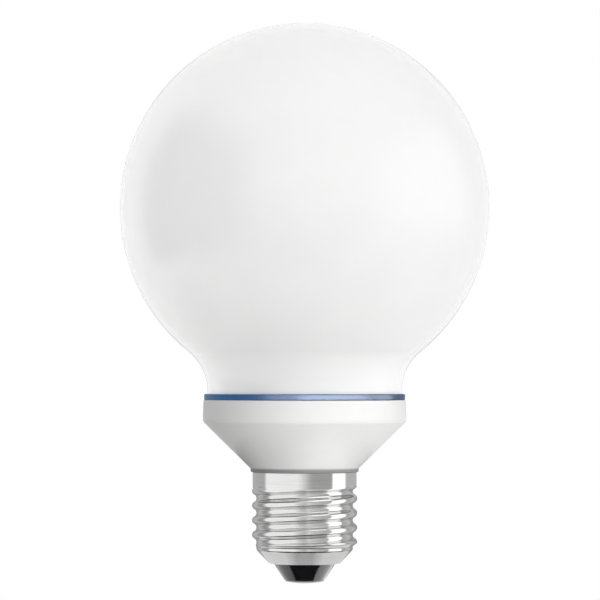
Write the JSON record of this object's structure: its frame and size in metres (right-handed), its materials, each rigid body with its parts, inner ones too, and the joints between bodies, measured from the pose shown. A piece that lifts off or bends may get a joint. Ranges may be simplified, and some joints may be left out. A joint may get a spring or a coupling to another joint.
{
  "type": "globe bulb",
  "caption": "Large opal globe bulb with a blue ring, a white cone-shaped ballast housing and an E27 screw cap; screws into a lampholder and gives soft light.",
  "frame": {"origin": "on the lamp's axis, in the plane where the screw cap's top rim meets the ballast housing: what goes into a lampholder is below it", "axes": "+Z along the lamp's axis from the cap to the globe's top; the body is round, so +X and +Y are free, and +X is where the first thread groove lies 4.72 mm below the rim"},
  "size_m": [0.092, 0.092, 0.1394],
  "materials": {
    "opal_glass": "opal white, gloss",
    "blue_plastic": "gloss",
    "white_plastic": "satin",
    "nickel_plate": "bright plated",
    "black_glass": "glossy moulded glass",
    "contact_metal": "tinned"
  },
  "bodies": {
    "root": {"globe": "opal_glass", "collar_ring": "blue_plastic", "ballast_housing": "white_plastic", "screw_shell": "nickel_plate", "cap_insulator": "black_glass", "centre_contact": "contact_metal"}
  },
  "joints": []
}
